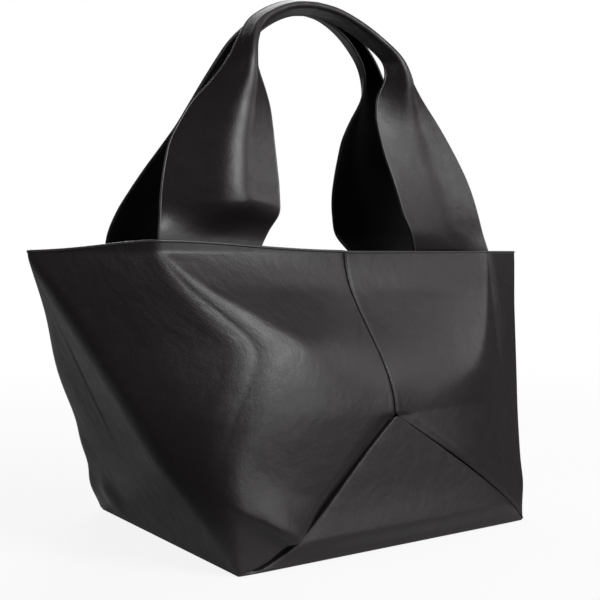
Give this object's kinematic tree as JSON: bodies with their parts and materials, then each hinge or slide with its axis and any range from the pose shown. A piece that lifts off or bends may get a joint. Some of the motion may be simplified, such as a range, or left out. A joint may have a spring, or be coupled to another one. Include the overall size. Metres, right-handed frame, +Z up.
{
  "type": "leather shopping bag",
  "caption": "Soft open-topped leather tote bag on a flat rectangular base, with two wide arched shoulder handles that fold down over the rim.",
  "frame": {"origin": "the middle of the flat base, on the surface that the bag stands on", "axes": "+X to the bag's right along the rim, +Y from the front to the rear, +Z up"},
  "size_m": [0.5756, 0.28, 0.5161],
  "materials": {
    "panel_leather": "black grained leather, satin",
    "bottom_leather": "black grained leather, satin",
    "strap_leather": "black grained leather with painted edges, satin",
    "strap_lining": "deep black suede backing, matt",
    "facing_leather": "black smooth leather, matt",
    "seam_tape": "black woven tape",
    "base_board": "black matt board"
  },
  "bodies": {
    "bag": {"left_side_panel": "panel_leather", "right_side_panel": "panel_leather", "bottom_panel": "bottom_leather", "base_board": "base_board", "front_rim_facing": "facing_leather", "rear_rim_facing": "facing_leather", "front_seam_tape": "seam_tape", "rear_seam_tape": "seam_tape", "front_left_strap_end": "strap_leather", "front_right_strap_end": "strap_leather", "rear_left_strap_end": "strap_leather", "rear_right_strap_end": "strap_leather"},
    "front_handle": {"front_handle_strap": "strap_leather", "front_handle_lining": "strap_lining"},
    "rear_handle": {"rear_handle_strap": "strap_leather", "rear_handle_lining": "strap_lining"}
  },
  "joints": [
    {"name": "front_handle_fold", "type": "hinge", "parent": "bag", "child": "front_handle", "pos_m": [0, -0.0582, 0.267], "axis": [1, 0, 0], "range_deg": [0, 140]},
    {"name": "rear_handle_fold", "type": "hinge", "parent": "bag", "child": "rear_handle", "pos_m": [0, 0.0582, 0.267], "axis": [-1, 0, 0], "range_deg": [0, 140]}
  ]
}
